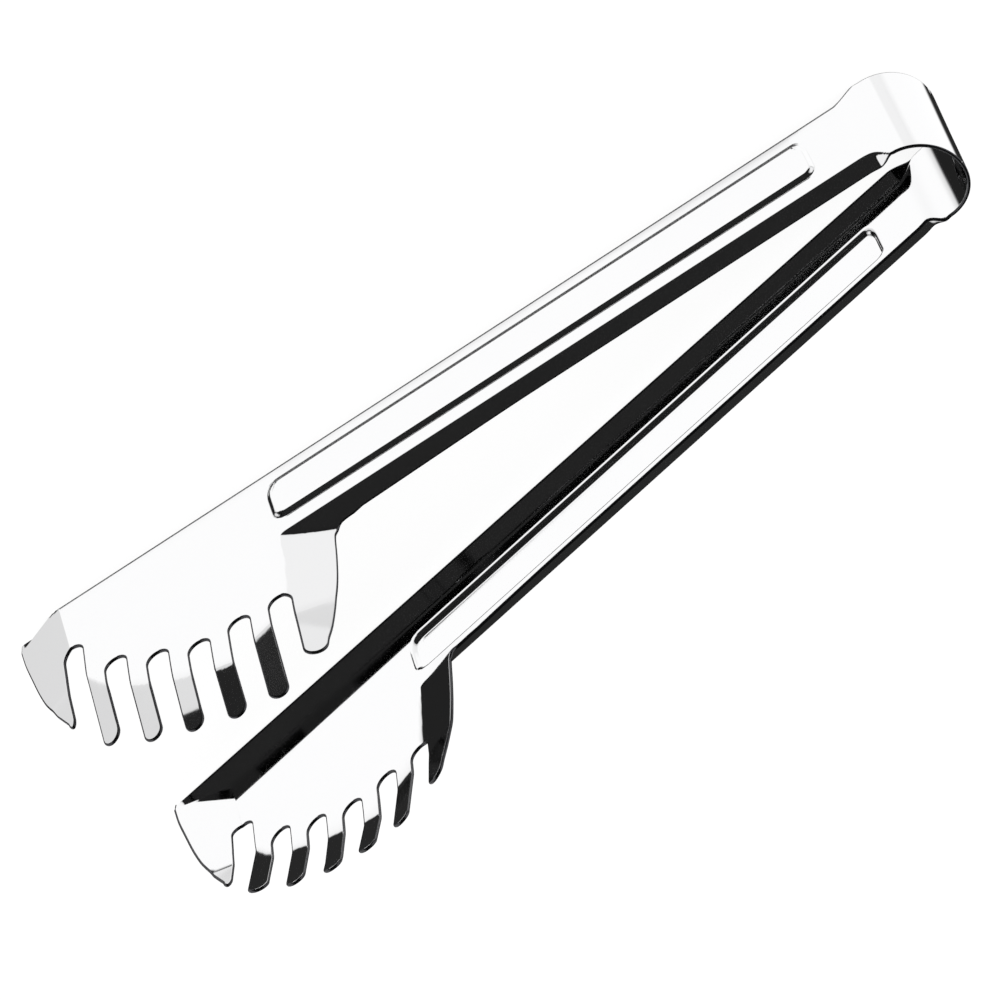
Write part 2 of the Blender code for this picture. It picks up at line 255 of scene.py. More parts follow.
# %% [markdown]
# ## The floor
#
# The background of the photograph is pure white. Most of the floor's white is its own glow, seen by
# the camera alone, and the rest is the light that falls on it, so a faint soft shadow stays under
# the tongs. The steel mirrors the painted room instead of the floor. No lamp is needed, because the
# white world lights everything evenly, as a light tent does.

# %% Floor
floor_size = 6.0
floor_gap = 0.0001
floor_grey = 0.18
floor_glow = 0.9


def build_floor():
    """A pale plane just under the tongs, which glows for the camera and takes a soft shadow."""
    bpy.ops.object.select_all(action="DESELECT")
    bpy.ops.mesh.primitive_plane_add(size=floor_size, location=(0, 0, cad_box[0].z - floor_gap))
    floor = bpy.context.object
    floor.name = "floor"
    material = bpy.data.materials.new("pale_floor")
    material.use_nodes = True
    tree = material.node_tree
    tree.nodes.clear()
    paint = add_node(tree, "ShaderNodeBsdfDiffuse", (0, 0), None, {"Color": (floor_grey,) * 3 + (1,)})
    rays = add_node(tree, "ShaderNodeLightPath", (-400, -200))
    glow_level = add_node(
        tree, "ShaderNodeMath", (-200, -200), {"operation": "MULTIPLY"}, {1: floor_glow},
    )
    glow = add_node(tree, "ShaderNodeEmission", (0, -200))
    total = add_node(tree, "ShaderNodeAddShader", (200, 0))
    output = add_node(tree, "ShaderNodeOutputMaterial", (400, 0))
    link = tree.links.new
    link(rays.outputs["Is Camera Ray"], glow_level.inputs[0])
    link(glow_level.outputs[0], glow.inputs["Strength"])
    link(paint.outputs[0], total.inputs[0])
    link(glow.outputs[0], total.inputs[1])
    link(total.outputs[0], output.inputs["Surface"])
    floor.data.materials.append(material)
    floor.visible_glossy = False
    return floor


floor = build_floor()
print("floor at height", round(floor.location.z, 5))

# %% [markdown]
# ## Sizes of the strip
#
# Most of the sizes that follow are those of the solid model, in metres. The far fold, the walls of
# the panel and the folds of single teeth are softer or finer here, as the photograph shows them. The
# strip is measured by two numbers: along, from where the bow ends to the tip of the comb, and
# across, from the fold that the tongs lie on up to the teeth. Along is negative on the bow.

# %% Sizes of the bow and the channel
sheet_thickness = 0.0008
bow_radius = 0.01145
bow_middle_radius = bow_radius - sheet_thickness / 2
arm_angle = math.radians(5.23)
bow_extra_width = 0.0026

arm_length = 0.2215
face_width = 0.0262
far_flange_at_bow = 0.00421
far_flange_at_jaw = 0.00575
far_fold_angle = math.radians(61)
near_flange_width = 0.00345
near_flange_growth = 0.0013
near_fold_angle = math.radians(66)
far_fold_radius = 0.0022
near_fold_radius = 0.0013
unfold_length = 0.0076
full_fold_length = 0.003
far_runout_length = 0.0080
near_runout_length = 0.0050
far_side_step = 0.0008
face_lean_slope = 0.028
opening_start = 0.094
opening_share = 0.479
opening_power = 1.39

panel_start = 0.0166
panel_end = 0.1557
panel_edge_margin = 0.0055
panel_corner_radius = 0.003
panel_wall = 0.0011
panel_far_wall = 0.0024
panel_jaw_wall = 0.0015
panel_height = 0.0009
panel_far_edge = panel_edge_margin - (panel_far_wall - panel_wall) / 2
print("face", face_width * 1000, "mm wide, arm", arm_length * 1000, "mm long")

# %% [markdown]
# ### The comb
#
# The comb has seven teeth and six gaps with round roots. Every tooth has its own length and its own
# crease, so the lengths are shares of the longest tooth, and each crease is a line through two
# places, given as (back from the tip, across), with the slope that the sheet takes beyond it. The
# rim of the scoop is a line through such places too, each with the weight of the soft curve there.

# %% Sizes of the comb
tooth_lean = math.radians(5.3)
tooth_pitch = 0.01008
tooth_width = 0.0048
first_gap_offset = 0.01505
end_tooth_width = 0.0021
heel_tooth_width = 0.0054
comb_width = 0.0703
tip_reach_shares = (0.579, 0.751, 0.86, 0.935, 0.9855, 1.0, 0.902)
gap_reach_shares = (0.238, 0.424, 0.518, 0.587, 0.587, 0.589)
jaw_length = 0.0766
tip_outline_shares = (
    (0.0, -0.0097), (0.0025, 0.0757), (0.0115, 0.1756), (0.0232, 0.2891), (0.039, 0.389), (0.0614, 0.489),
)
heel_outline_shares = (
    (0.888, 0.9449), (0.9125, 0.8877), (0.944, 0.7897), (0.967, 0.6917), (0.986, 0.5821),
    (1.0, 0.488), (1.009, 0.4623), (1.031, 0.4409), (1.077, 0.4356),
)
tip_corner_inset = 0.0006
tip_fold_back = 0.0132
tip_fold_slope = 0.385
heel_fold = ((0.0624, 0.04835), (0.06545, 0.02955))
heel_fold_slope = 0.31
tooth_folds = (
    ((0.0050, 0.0320), (0.0130, 0.0320), 0.12),
    ((0.01454, 0.03035), (0.01826, 0.03785), 0.39),
    ((0.02428, 0.04435), (0.02810, 0.04765), 0.255),
    ((0.03360, 0.05135), (0.03780, 0.05395), 0.20),
    ((0.04256, 0.05765), (0.04690, 0.05945), 0.25),
    ((0.05300, 0.05645), (0.05730, 0.05445), 0.22),
    ((0.0600, 0.0545), (0.0700, 0.0545), 0.10),
)
twice_bent_tooth = 3
second_fold = ((0.0300, 0.0620), (0.0345, 0.0640), 0.07)
rim_of_scoop = (
    (0.01454, 0.03035, 0.0), (0.01826, 0.03785, 0.3), (0.02428, 0.04435, 0.7), (0.0281, 0.04765, 0.9),
    (0.0336, 0.05135, 1.0), (0.0378, 0.05395, 1.0), (0.04256, 0.05765, 1.0), (0.0469, 0.05945, 1.0),
    (0.0530, 0.05645, 1.0), (0.0573, 0.05445, 0.9), (0.0624, 0.04835, 0.5), (0.06545, 0.02955, 0.0),
)
easing_length = 0.009
easing_slope = 0.07
tooth_bend_length = 0.0012
end_bend_length = 0.00025
heel_blend = 0.0005
scoop_length = jaw_length * 1.2
print(len(tip_reach_shares), "teeth,", len(gap_reach_shares), "gaps")

# %% [markdown]
# ## How a press bends the sheet
#
# Each rule below answers one question about a place on the flat blank: how far a fold has turned it,
# how far the panel lifts it, how far the comb's scoop pushes it in. Later one function adds them up
# and says where that place ends in space. Working by rule keeps the sheet's width true round every
# fold, which pushing points by hand wouldn't.

# %% Rules for the folds
def smooth_step(value, low, high):
    """0 up to the low end, 1 from the high end, and a smooth rise between them."""
    share = min(max((value - low) / (high - low), 0.0), 1.0)
    return share * share * (3 - 2 * share)


def fold_setback(radius, angle):
    """How far inside the fold line the bend starts."""
    return radius * math.tan(angle / 2)


def flange_blank(width, radius, angle):
    """Width of the flat strip that becomes a flange, from where its bend starts."""
    return radius * angle + width - fold_setback(radius, angle)


def folded(along):
    """Share of the flanges' folding: 0 on the flat bow and 1 on the channel."""
    return smooth_step(along, 0.0, full_fold_length)


def bent_edge(distance, radius, angle):
    """(outward, inward) travel of a point that lies this far past the start of a bend."""
    bend = radius * angle
    if distance <= bend:
        turned = distance / radius
        return radius * math.sin(turned), radius * (1 - math.cos(turned))
    straight = distance - bend
    outward = radius * math.sin(angle) + straight * math.cos(angle)
    inward = radius * (1 - math.cos(angle)) + straight * math.sin(angle)
    return outward, inward


def soft_fold(past, slope, length):
    """Depth of a bend that is spread over a short length."""
    past += length / 2
    bending = min(max(past, 0.0), length)
    return slope * (bending * bending / (2 * length) + max(past - length, 0.0))


flat_flange = flange_blank(far_flange_at_bow, far_fold_radius, far_fold_angle)
print("the far flange needs", round(flat_flange * 1000, 2), "mm of flat strip at the bow")

# %% Where the two long folds run
near_bend_start = face_width - fold_setback(near_fold_radius, near_fold_angle)
far_bend_start = fold_setback(far_fold_radius, far_fold_angle)
far_blank_at_bow = flange_blank(far_flange_at_bow, far_fold_radius, far_fold_angle)
near_blank_at_bow = flange_blank(near_flange_width, near_fold_radius, near_fold_angle)
base_lift = far_blank_at_bow - far_bend_start


def far_edge(along):
    """Where the blank ends on the side away from the teeth."""
    share = max(along, 0.0) / arm_length
    width = far_flange_at_bow + (far_flange_at_jaw - far_flange_at_bow) * share
    return far_bend_start - flange_blank(width, far_fold_radius, far_fold_angle)


def far_bend(along):
    """Where the far fold starts. Near the bow it runs out to the edge of the sheet."""
    return far_bend_start - far_blank_at_bow * (1 - smooth_step(along, 0.0, far_runout_length))


def near_bend(along):
    """Where the near fold starts. It runs out in the same way."""
    return near_bend_start + near_blank_at_bow * (1 - smooth_step(along, 0.0, near_runout_length))


print("the tongs' far fold lies", round(base_lift * 1000, 2), "mm above the floor")


# %% Rules for the comb: offset runs across the teeth, reach along them
def comb_axes(along, across):
    """A place of the strip as (offset, reach)."""
    cosine, sine = math.cos(tooth_lean), math.sin(tooth_lean)
    back = arm_length - along
    return back * cosine + across * sine, across * cosine - back * sine


def comb_place(offset, reach):
    """The way back, from (offset, reach) to a place of the strip."""
    cosine, sine = math.cos(tooth_lean), math.sin(tooth_lean)
    return arm_length - (offset * cosine - reach * sine), offset * sine + reach * cosine


def gap_offset(index):
    """The middle of a gap, counted from the tip of the tongs."""
    return first_gap_offset + tooth_pitch * index


def gap_reach(index):
    """The root of a gap."""
    return comb_width * gap_reach_shares[index]


def tooth_index(offset):
    """Which tooth this offset belongs to, counted from the tip of the tongs."""
    place = (offset - gap_offset(-1)) / tooth_pitch
    return min(max(int(math.floor(place)), 0), len(tooth_folds) - 1)


def past_line(back, across, line):
    """How far a place lies beyond a line, which is given by two places with the tip on its left."""
    (start_back, start_across), (end_back, end_across) = line[:2]
    run, rise = end_back - start_back, end_across - start_across
    return ((across - start_across) * run - (back - start_back) * rise) / math.hypot(run, rise)


along_heel_crease = arm_length - heel_fold[1][0]
gap_radius = (tooth_pitch - tooth_width) / 2
print("the heel's crease starts", round(along_heel_crease * 1000, 1), "mm along the arm")


# %% Rules for the near flange and the panel
def opened(along):
    """How far the near flange has opened out on its way to the heel, from 0 to 1."""
    share = (along - opening_start) / (along_heel_crease - opening_start)
    return min(max(share, 0.0), 1.0) ** opening_power


def near_edge(along):
    """Where the blank ends on the side of the teeth, as far as the heel."""
    width = near_flange_width + near_flange_growth * opened(along)
    return near_bend_start + flange_blank(width, near_fold_radius, near_fold_angle)


def panel_rise(along, across):
    """Share of the panel's height here, with a rounded shoulder at the top and foot of its wall."""
    from_jaw = (panel_end - along) * panel_wall / panel_jaw_wall
    from_far = (across - panel_far_edge) * panel_wall / panel_far_wall
    from_end = min(along - panel_start, from_jaw)
    from_side = min(face_width - panel_edge_margin - across, from_far)
    corner = panel_corner_radius
    rounded = corner - math.hypot(max(corner - from_end, 0.0), max(corner - from_side, 0.0))
    return smooth_step(min(from_end, from_side, rounded), 0.0, panel_wall)


wall_middle = panel_rise(panel_start + panel_wall / 2, face_width / 2)
print("the middle of the panel's wall rises to", round(wall_middle, 2), "of its height")


# %% Rules for the heel and the scoop
def heel_depth(along, across):
    """How far the slanted crease of the heel has turned the sheet inwards."""
    past = past_line(arm_length - along, across, heel_fold)
    return soft_fold(past, heel_fold_slope, end_bend_length)


def easing(back, across):
    """The sheet starts to curve a little before it reaches the fold at the rim of the scoop."""
    nearest, weight, beyond = math.inf, 0.0, False
    for (b0, a0, w0), (b1, a1, w1) in zip(rim_of_scoop, rim_of_scoop[1:]):
        run, rise = b1 - b0, a1 - a0
        share = ((back - b0) * run + (across - a0) * rise) / (run * run + rise * rise)
        share = min(max(share, 0.0), 1.0)
        distance = math.hypot(back - b0 - run * share, across - a0 - rise * share)
        if distance < nearest:
            nearest, weight = distance, w0 + (w1 - w0) * share
            beyond = (across - a0) * run - (back - b0) * rise > 0
    inside = 0.0 if beyond else nearest
    return weight * easing_slope * max(easing_length - inside, 0.0) ** 2 / (2 * easing_length)


def scoop_depth(along, across):
    """How far the comb is pressed inwards: the facet at its end, and the bent teeth."""
    back = arm_length - along
    offset = comb_axes(along, across)[0]
    index = tooth_index(offset)
    folds = [tooth_folds[index]] + ([second_fold] if index == twice_bent_tooth else [])
    depth = easing(back, across)
    if index == 0 or across < gap_reach(0):
        depth += soft_fold(tip_fold_back - back, tip_fold_slope, end_bend_length)
    for fold in folds:
        depth += soft_fold(past_line(back, across, fold), fold[2], tooth_bend_length)
    return depth


print("the facet pushes the tip in by", round(scoop_depth(arm_length, 0.0) * 1000, 2), "mm")


# %% Where a place of the flat blank goes in the press
def leaned(along, height):
    """The strip leans in towards the teeth, and each arm stands out a little past the bow."""
    return face_lean_slope * height - far_side_step * smooth_step(along, 0.0, unfold_length)


def soft_least(first, second):
    """The smaller of two depths, with a small rounding where they are alike."""
    near = max(heel_blend - abs(first - second), 0.0) / heel_blend
    return max(min(first, second) - near * near * heel_blend / 4, 0.0)


def pressed(along, across):
    """(height, inward depth) of a place of the flat blank once it is pressed."""
    far, near = far_bend(along), near_bend(along)
    depth = -panel_height * panel_rise(along, across)
    if along > arm_length - scoop_length:
        depth += scoop_depth(along, across)
    height = across
    if across < far:
        outward, inward = bent_edge(far - across, far_fold_radius, far_fold_angle * folded(along))
        height = far - outward
        depth = max(depth, inward)
    if across > near:
        angle = near_fold_angle * folded(along) * (1 - opening_share * opened(along))
        outward, inward = bent_edge(across - near, near_fold_radius, angle)
        depth += soft_least(inward, heel_depth(along, across))
        flat = across - near
        height = near + max(outward, math.sqrt(max(flat * flat - depth * depth, 0.0)))
    return height, depth + leaned(along, height)


just_inside = 0.0003
tip_places = [
    comb_place(gap_offset(index) - tooth_pitch / 2, comb_width * share - just_inside)
    for index, share in enumerate(tip_reach_shares)
]
tip_depths = [round(pressed(*place)[1] * 1000, 2) for place in tip_places]
print("the teeth's tips are pushed in", tip_depths, "mm")

# %% [markdown]
# ## The outline of the blank
#
# The blank is punched out of flat sheet. Its outline runs from the bow along the edge that the tongs
# lie on, round the end of the comb, up and down each tooth and gap, down the curved heel, and back
# along the other edge. Straight runs need only their corners, and curves get enough points to look
# round from close by.

# %% Curves of the outline
round_steps = 14
curve_steps = 6
shortest_edge = 0.00008


def smooth_line(points):
    """A smooth curve through these points."""
    ends = [points[0]] + list(points) + [points[-1]]
    line = []
    for a, b, c, d in zip(ends, ends[1:], ends[2:], ends[3:]):
        for step in range(curve_steps):
            t = step / curve_steps
            line.append(tuple(
                b[k] + (c[k] - a[k]) * t / 2 + (2 * a[k] - 5 * b[k] + 4 * c[k] - d[k]) * t * t / 2
                + (3 * b[k] - a[k] - 3 * c[k] + d[k]) * t ** 3 / 2 for k in (0, 1)
            ))
    return line + [tuple(points[-1])]


def half_round(offset, reach, radius, turn):
    """A half circle across a tooth (turn 1) or a gap (turn -1), from its tip side to its heel side."""
    angles = [math.pi * (1 - step / round_steps) for step in range(round_steps + 1)]
    return [comb_place(offset + radius * math.cos(a), reach + turn * radius * math.sin(a)) for a in angles]


def pointed_end(offset, tip_reach, width):
    """The longer, half oval point of one of the two outermost teeth."""
    points = []
    for step in range(round_steps + 1):
        angle = math.pi * (1 - step / round_steps)
        reach = tip_reach - tooth_width / 2 * (1 - math.sin(angle))
        points.append(comb_place(offset + width / 2 * math.cos(angle), reach))
    return points


print("a round end has", round_steps, "edges, and a curve has", curve_steps, "between two points")

# %% The outline, tooth by tooth
bow_length = bow_middle_radius * (math.pi / 2 - arm_angle)
cell = 0.0011


def evenly(low, high, step):
    """Evenly spaced numbers from low to high, about a step apart."""
    count = max(round((high - low) / step), 1)
    return [low + (high - low) * index / count for index in range(count + 1)]


def teeth_outline():
    """Up and down all the teeth and gaps, from the tip of the tongs to the heel."""
    last_gap = len(gap_reach_shares) - 1
    end_offset = gap_offset(0) - gap_radius - end_tooth_width / 2
    outline = pointed_end(end_offset, comb_width * tip_reach_shares[0], end_tooth_width)[1:]
    for index in range(last_gap + 1):
        outline += half_round(gap_offset(index), gap_reach(index) + gap_radius, gap_radius, -1)
        if index < last_gap:
            reach = comb_width * tip_reach_shares[index + 1] - tooth_width / 2
            outline += half_round(gap_offset(index) + tooth_pitch / 2, reach, tooth_width / 2, 1)
    heel_offset = gap_offset(last_gap) + gap_radius + heel_tooth_width / 2
    outline += pointed_end(heel_offset, comb_width * tip_reach_shares[-1], heel_tooth_width)[:-1]
    return outline


def blank_outline():
    """Corners of the blank, from the bow's crown and round to it again."""
    def in_jaw(shares):
        return [(arm_length - jaw_length * back, comb_width * reach) for back, reach in shares]

    heel_end = arm_length - jaw_length * heel_outline_shares[-1][0]
    outline = [(-bow_length, far_edge(0)), (0.0, far_edge(0))]
    outline += [(arm_length - tip_corner_inset, far_edge(arm_length))]
    outline += smooth_line(in_jaw(tip_outline_shares)) + teeth_outline()
    outline += smooth_line(in_jaw(heel_outline_shares))
    places = [-bow_length] + evenly(opening_start, heel_end - cell * 2, cell)
    outline += [(along, near_edge(along)) for along in reversed(places)]
    corners = [outline[0]]
    for place in outline[1:]:
        if math.dist(place, corners[-1]) > shortest_edge:
            corners.append(place)
    return corners


outline = blank_outline()
print("the blank has", len(outline), "corners")

# %% [markdown]
# ## Cutting and scoring the blank
#
# A filled circle with as many corners as the outline has is the start, and its corners are moved to
# the outline. The faces that will carry the rounded cut edge are made first, as narrow rings inset
# from the outline. A flat polygon can't bend, so it is then scored with the bisect tool: closely
# where the sheet will curve, at the bow, the two folds, the panel's wall and the comb, and widely
# where it stays flat. A few more lines follow the slanted folds of single teeth, and these cut only
# the faces of that tooth. Subdividing the whole sheet evenly would be simpler, but its lines would
# miss the creases, and a mirror shows every crease that wanders.

# %% Lines along and across the strip
edge_round = 0.00038
edge_rings = (0.00004, 0.00006, 0.00007, 0.00009, 0.00012, 0.00006)
# The painted dark outline along the cut edge: its width, and its wider width where the edge faces the tip
# or the floor.
painted_outline_width = 0.00027
wide_painted_outline_width = 0.00045
bow_line_step = math.radians(1.5) * bow_middle_radius
seam_line = bow_line_step / 3
far_fold_step = 0.00018
fine_step = 0.00016
soft_step = 0.0005
opening_step = 0.002
flat_step = 0.008
wall_margin = 0.0001


def panel_edge_lines():
    """How far inside the panel's edge the sheet is scored: on its wall, then round its corners."""
    on_wall = evenly(-wall_margin, panel_wall + wall_margin, fine_step)
    return on_wall + evenly(panel_wall + soft_step, panel_corner_radius, soft_step)


def bend_lines(length):
    """Lines through a bend and just beside it, measured from its middle."""
    return evenly(-length / 2, length / 2, length / 4) + [-length * 0.8, length * 0.8]


def lines_along():
    """Where the sheet is scored on its way from the bow's crown to the tip."""
    lines = evenly(-bow_length + bow_line_step, 0.0, bow_line_step) + [-bow_length + seam_line]
    lines += evenly(0.0, unfold_length, soft_step)
    lines += [panel_start + inside for inside in panel_edge_lines()]
    lines += [panel_end - inside * panel_jaw_wall / panel_wall for inside in panel_edge_lines()]
    lines += evenly(panel_start + panel_corner_radius, opening_start, flat_step)
    lines += evenly(opening_start, panel_end - panel_corner_radius, opening_step)
    lines += evenly(panel_end, arm_length - tip_fold_back, cell)
    lines += [arm_length - tip_fold_back + past for past in bend_lines(end_bend_length)]
    lines += evenly(arm_length - tip_fold_back, arm_length, cell)
    return sorted(set(lines))


def lines_across():
    """Where the sheet is scored from the far flange up to the teeth."""
    far_length = far_fold_radius * far_fold_angle
    near_length = near_fold_radius * near_fold_angle
    lines = evenly(far_bend_start - far_length, far_bend_start, far_fold_step)
    lines += evenly(near_bend_start, near_bend_start + near_length, fine_step)
    lines += [panel_far_edge + inside * panel_far_wall / panel_wall for inside in panel_edge_lines()]
    lines += [face_width - panel_edge_margin - inside for inside in panel_edge_lines()]
    lines += evenly(
        panel_far_edge + panel_corner_radius * panel_far_wall / panel_wall,
        face_width - panel_edge_margin - panel_corner_radius, cell * 2,
    )
    lines += evenly(near_bend_start + near_length, comb_width, cell)
    return sorted(set(lines))


print(len(lines_along()), "lines along,", len(lines_across()), "lines across")


# %% Selecting faces by their place, and scoring them
def select_faces(test):
    """Selects the faces in edit mode whose middle passes the test, and counts them."""
    mesh = bmesh.from_edit_mesh(bpy.context.object.data)
    for item in mesh.verts[:] + mesh.edges[:] + mesh.faces[:]:
        item.select = False
    count = 0
    for face in mesh.faces:
        if test(face.calc_center_median()):
            face.select_set(True)
            count += 1
    bmesh.update_edit_mesh(bpy.context.object.data, loop_triangles=False, destructive=False)
    return count


def score(start, end):
    """Scores the selected faces of the flat blank along the line through two places."""
    normal = (start[1] - end[1], 0, end[0] - start[0])
    bpy.ops.mesh.bisect(plane_co=(start[0], 0, start[1]), plane_no=normal)


def score_everywhere(start, end):
    """Scores the whole blank along the line through two places."""
    bpy.ops.mesh.select_all(action="SELECT")
    score(start, end)


print("the blank is scored with", bpy.ops.mesh.bisect.idname_py())


# %% Scoring a slanted fold, a small area or one tooth
def score_fold(fold, length, test):
    """Lines along one slanted fold, cut only in the faces that pass the test."""
    (start_back, start_across), (end_back, end_across) = fold[:2]
    run, rise = end_back - start_back, end_across - start_across
    for past in bend_lines(length):
        shift_back = -rise * past / math.hypot(run, rise)
        shift_across = run * past / math.hypot(run, rise)
        if select_faces(test):
            score(
                (arm_length - start_back - shift_back, start_across + shift_across),
                (arm_length - end_back - shift_back, end_across + shift_across),
            )


def score_area(low, high, along_lines, across_lines):
    """Extra lines both ways in one small area, given by its two corners."""
    def in_area(middle):
        return low[0] < middle.x < high[0] and low[1] < middle.z < high[1]

    for along in along_lines:
        select_faces(in_area)
        score((along, 0.0), (along, 1.0))
    for across in across_lines:
        select_faces(in_area)
        score((0.0, across), (1.0, across))


def in_tooth(index):
    """A test for the faces of one tooth."""
    low, high = gap_offset(index - 1), gap_offset(index)
    root = gap_reach(max(index - 1, 0))

    def test(middle):
        offset, reach = comb_axes(middle.x, middle.z)
        return low < offset < high and reach > root

    return test


def in_heel(middle):
    """A test for the faces of the heel."""
    last_tooth_middle = gap_offset(len(gap_reach_shares) - 1) - tooth_pitch / 2
    return comb_axes(middle.x, middle.z)[0] > last_tooth_middle and middle.z > near_bend_start


tip_tooth = [round(gap_offset(index) * 1000, 2) for index in (-1, 0)]
print("the first tooth's faces have an offset between", tip_tooth, "mm")


# %% Extra lines where a flange changes its shape
runout_margin = 0.0003
runout_step = 0.0003
heel_run = 0.022
heel_rise = 0.008
heel_margin = 0.001
heel_step = 0.0004


def score_transitions():
    """Where the near flange becomes the heel, and where both flanges run out beside the bow."""
    score_area(
        (along_heel_crease - heel_run, near_bend_start),
        (along_heel_crease + heel_margin, near_bend_start + heel_rise),
        evenly(along_heel_crease - heel_run, along_heel_crease, soft_step),
        evenly(near_bend_start, near_bend_start + heel_rise, heel_step),
    )
    score_area(
        (-runout_margin, far_edge(0.0)), (far_runout_length, far_bend_start),
        [], evenly(far_edge(0.0), far_bend_start, runout_step),
    )
    score_area(
        (-runout_margin, near_bend_start), (near_runout_length, near_edge(0.0)),
        [], evenly(near_bend_start, near_edge(0.0), runout_step),
    )


print("the near flange is scored again over the last", heel_run * 1000, "mm before the heel")


# %% Cut out the blank and score it
circle_radius = 0.1
merge_distance = 0.000006


def build_blank():
    """The flat blank, with the lines on which it can bend."""
    bpy.ops.object.select_all(action="DESELECT")
    bpy.ops.mesh.primitive_circle_add(vertices=len(outline), radius=circle_radius, fill_type="NGON")
    blank = bpy.context.object
    blank.name = "right_half"
    for vertex, (along, across) in zip(blank.data.vertices, outline):
        vertex.co = (along, 0, across)
    bpy.ops.object.mode_set(mode="EDIT")
    bpy.ops.mesh.select_all(action="SELECT")
    for ring in edge_rings:
        bpy.ops.mesh.inset(thickness=ring, depth=0)
    for along in lines_along():
        score_everywhere((along, 0.0), (along, 1.0))
    for across in lines_across():
        score_everywhere((0.0, across), (1.0, across))
    for index, fold in enumerate(tooth_folds):
        score_fold(fold, tooth_bend_length, in_tooth(index))
    score_fold(second_fold, tooth_bend_length, in_tooth(twice_bent_tooth))
    score_fold(heel_fold, end_bend_length, in_heel)
    score_transitions()
    bpy.ops.mesh.select_all(action="SELECT")
    bpy.ops.mesh.remove_doubles(threshold=merge_distance)
    bpy.ops.object.mode_set(mode="OBJECT")
    return blank


blank = build_blank()
print("the scored blank has", len(blank.data.polygons), "faces")

# %% [markdown]
# ## Pressing the two halves
#
# The two halves of the strip are alike, so the scored blank is copied and each copy is pressed with
# its own side: -1 for the right half and 1 for the left. On the bow a point goes round the cone that
# the bow is rolled on, and on the arm it goes straight on from where the bow ends. The two halves
# meet at the bow's crown, where the sheet is square to the seam, so no line shows there.

# %% Where a place of the blank ends in space
crown_x = cad_box[0].x + bow_radius - face_lean_slope * -base_lift
angle_tolerance = 1e-6


def in_space(along, across, side):
    """The outer surface of the sheet at this place of the blank."""
    height, depth = pressed(along, across)
    if along >= 0:
        out = sheet_thickness / 2 - depth
        start = Vector((-bow_middle_radius * math.sin(arm_angle), bow_middle_radius * math.cos(arm_angle)))
        turned_x = start.x + along * math.cos(arm_angle) - out * math.sin(arm_angle)
        turned_y = start.y + along * math.sin(arm_angle) + out * math.cos(arm_angle)
        return Vector((turned_x + crown_x, side * turned_y, height + base_lift))
    radius = bow_radius - depth
    from_crown = math.pi / 2 - arm_angle + along / bow_middle_radius
    bulge = (math.cos(from_crown) - math.sin(arm_angle)) / (1 - math.sin(arm_angle))
    width = near_edge(0.0) + base_lift
    z = height + base_lift
    z += bow_extra_width * bulge * smooth_step(z, width / 2, width)
    if from_crown < seam_line / bow_middle_radius + angle_tolerance:
        # The crown is flat for a hair's breadth, so that the two halves meet square to the seam.
        return Vector((crown_x - radius, side * radius * max(from_crown, 0.0), z))
    return Vector((crown_x - radius * math.cos(from_crown), side * radius * math.sin(from_crown), z))


hinge = in_space(0.0, 0.0, 1)
print("the left arm leaves the bow at", [round(value * 1000, 2) for value in hinge], "mm")


# %% [markdown]
# ## Thickness and cut edges
#
# A punched edge is sharp, so the real tongs are tumbled until every edge is round and dull. Solidify
# gives the pressed sheet its thickness, and Bevel could round its edges. But a bevel pinches in the
# narrow gaps and on the tight folds. So the distance of each corner from the outline is measured on
# the flat blank, and the sheet is thinned near the outline by the rule of a quarter circle, on the
# rings that were inset there. The same distance says which faces get the rougher edge finish, whose
# near-black colour is a painted dark reflection that draws the outline.

# %% How far each corner of the blank lies from its cut edge
turned_away = 0.3


def painted_outline_width_here(run):
    """How wide the painted dark outline is here. It is wider where the edge faces the tip or the floor."""
    outward_along, outward_across = run[1] / math.hypot(*run), -run[0] / math.hypot(*run)
    wide = outward_along > turned_away or outward_across < -turned_away
    return wide_painted_outline_width if wide else painted_outline_width


def from_cut_edge():
    """Each vertex's distance from the outline, in metres and in widths of the painted dark outline there.
    """
    places = numpy.array([(vertex.co.x, vertex.co.z) for vertex in blank.data.vertices])
    nearest = numpy.full(len(places), numpy.inf)
    in_widths = numpy.full(len(places), numpy.inf)
    for start, end in zip(outline, outline[1:]):
        start, run = numpy.array(start), numpy.array(end) - numpy.array(start)
        share = numpy.clip((places - start) @ run / (run @ run), 0, 1)
        offset = places - start - share[:, None] * run
        distance = numpy.hypot(offset[:, 0], offset[:, 1])
        nearest = numpy.minimum(nearest, distance)
        in_widths = numpy.minimum(in_widths, distance / painted_outline_width_here(run))
    return nearest, in_widths


cut_edge_distance, painted_outline_widths = from_cut_edge()
print(int((cut_edge_distance < edge_round).sum()), "corners lie in the rounded edge")


# %% Press a half, give it its thickness and round its cut edges
smooth_angle = math.radians(28)


def press_half(piece, side):
    """Moves every corner of a copy of the blank to where the press puts it."""
    for vertex in piece.data.vertices:
        vertex.co = in_space(vertex.co.x, vertex.co.z, side)
    piece.data.update()
    face = max(piece.data.polygons, key=lambda one: one.area)
    if face.normal.y * side < 0:
        piece.data.flip_normals()


def thicken(piece):
    """The sheet grows inwards from its outer surface."""
    sheet = piece.modifiers.new("sheet", "SOLIDIFY")
    sheet.thickness = sheet_thickness
    sheet.offset = -1
    sheet.use_even_offset = True
    sheet.material_offset_rim = 1
    bpy.ops.object.select_all(action="DESELECT")
    piece.select_set(True)
    bpy.context.view_layer.objects.active = piece
    bpy.ops.object.modifier_apply(modifier="sheet")


